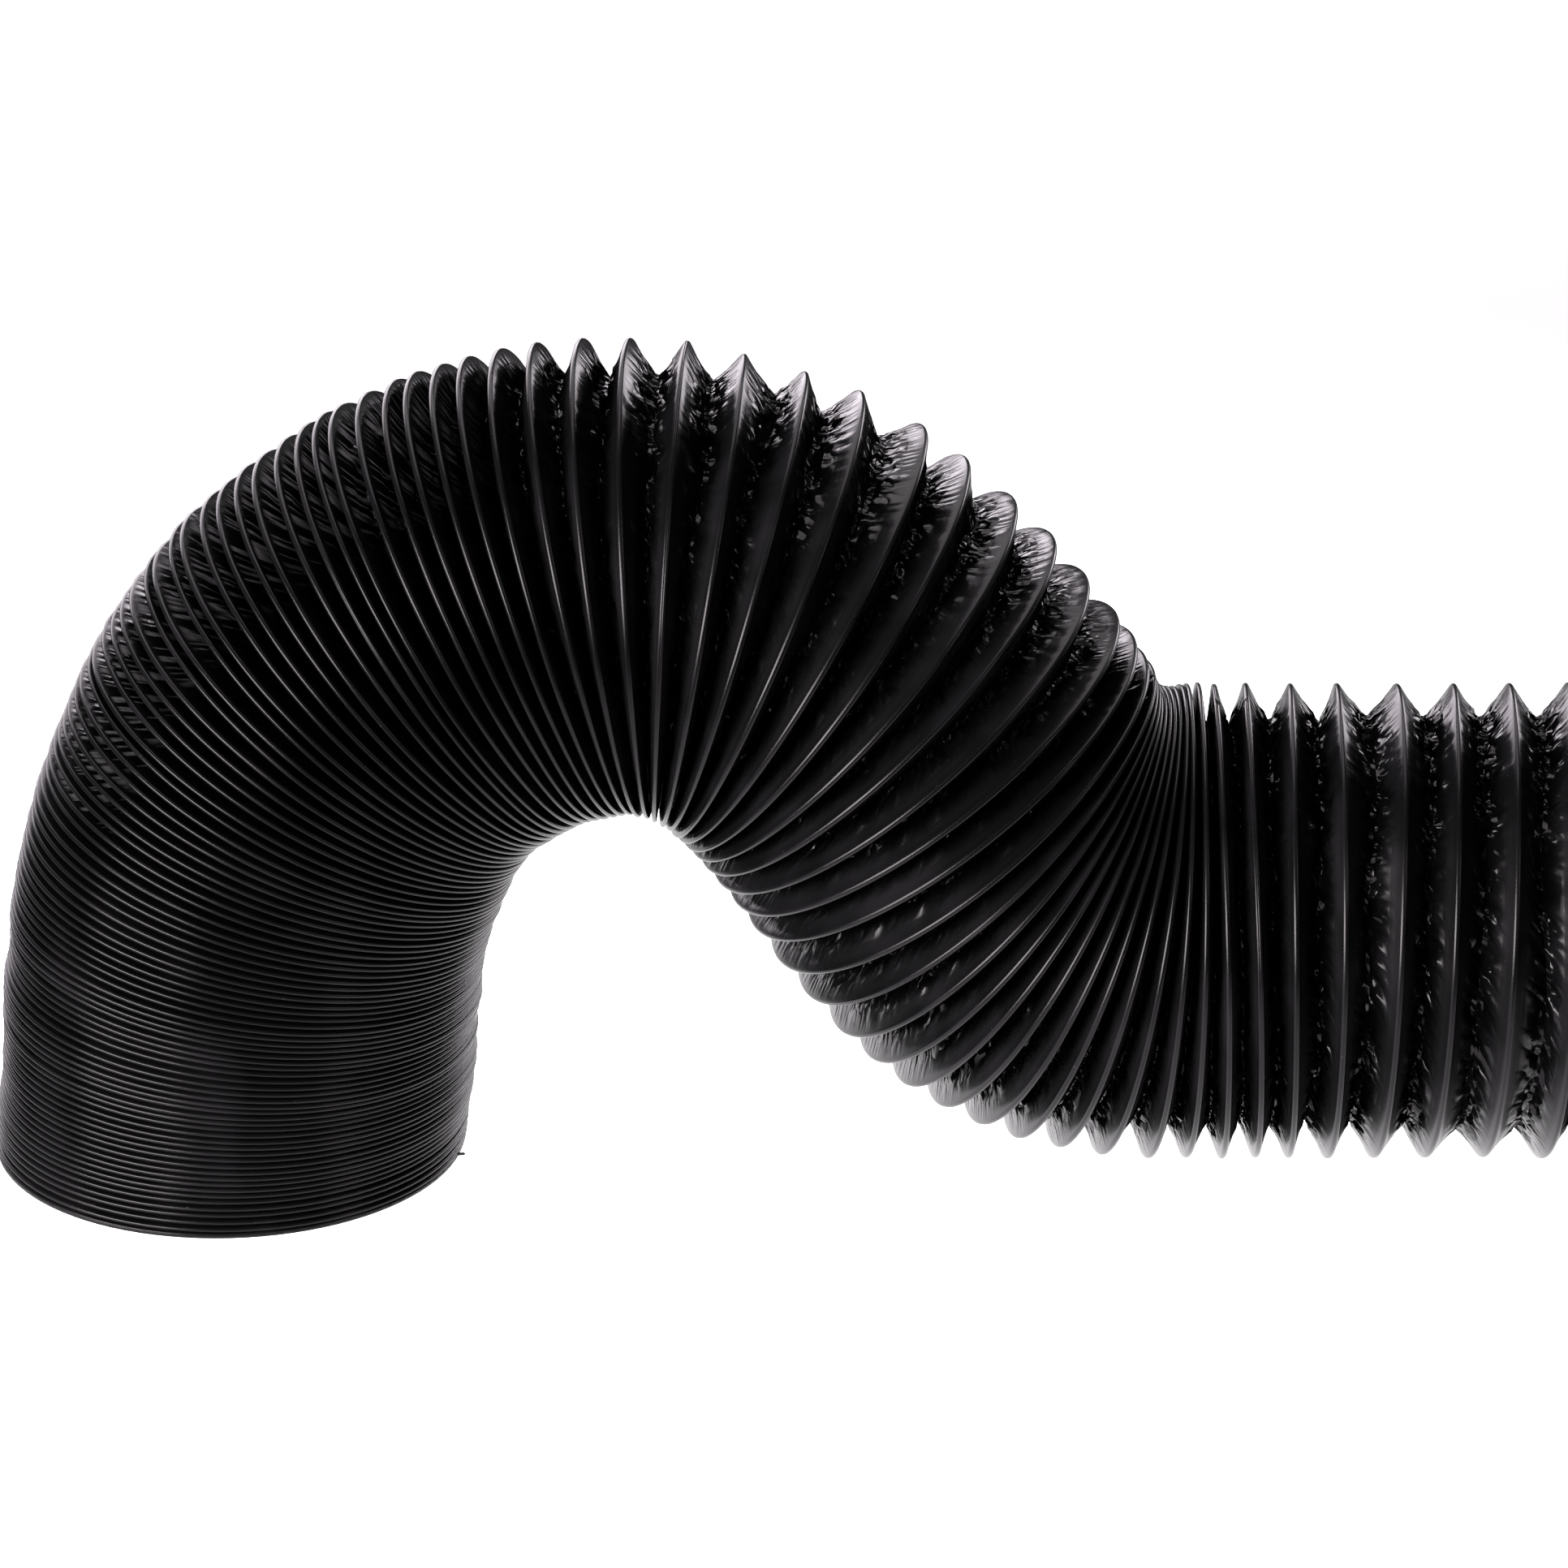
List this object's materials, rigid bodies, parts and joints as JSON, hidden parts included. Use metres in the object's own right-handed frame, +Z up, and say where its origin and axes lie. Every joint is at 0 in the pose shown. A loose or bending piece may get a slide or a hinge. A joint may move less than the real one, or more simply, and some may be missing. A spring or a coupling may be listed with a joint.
{
  "type": "flexible duct hose",
  "caption": "Pleated black film duct on a helix of spring wire, stood on its packed end, arched over and laid along the floor, open at both ends.",
  "frame": {"origin": "on the floor, under the middle of the duct's overall length and width", "axes": "+X along the floor from the standing packed end to the lying stretched end, +Z up"},
  "size_m": [0.5978, 0.155, 0.2744],
  "materials": {
    "film": "black laminate film, satin over the wire and creased and glossy between the turns",
    "wire": "black coated spring steel wire"
  },
  "bodies": {
    "root": {"duct_skin": "film", "wire_helix": "wire"}
  },
  "joints": []
}
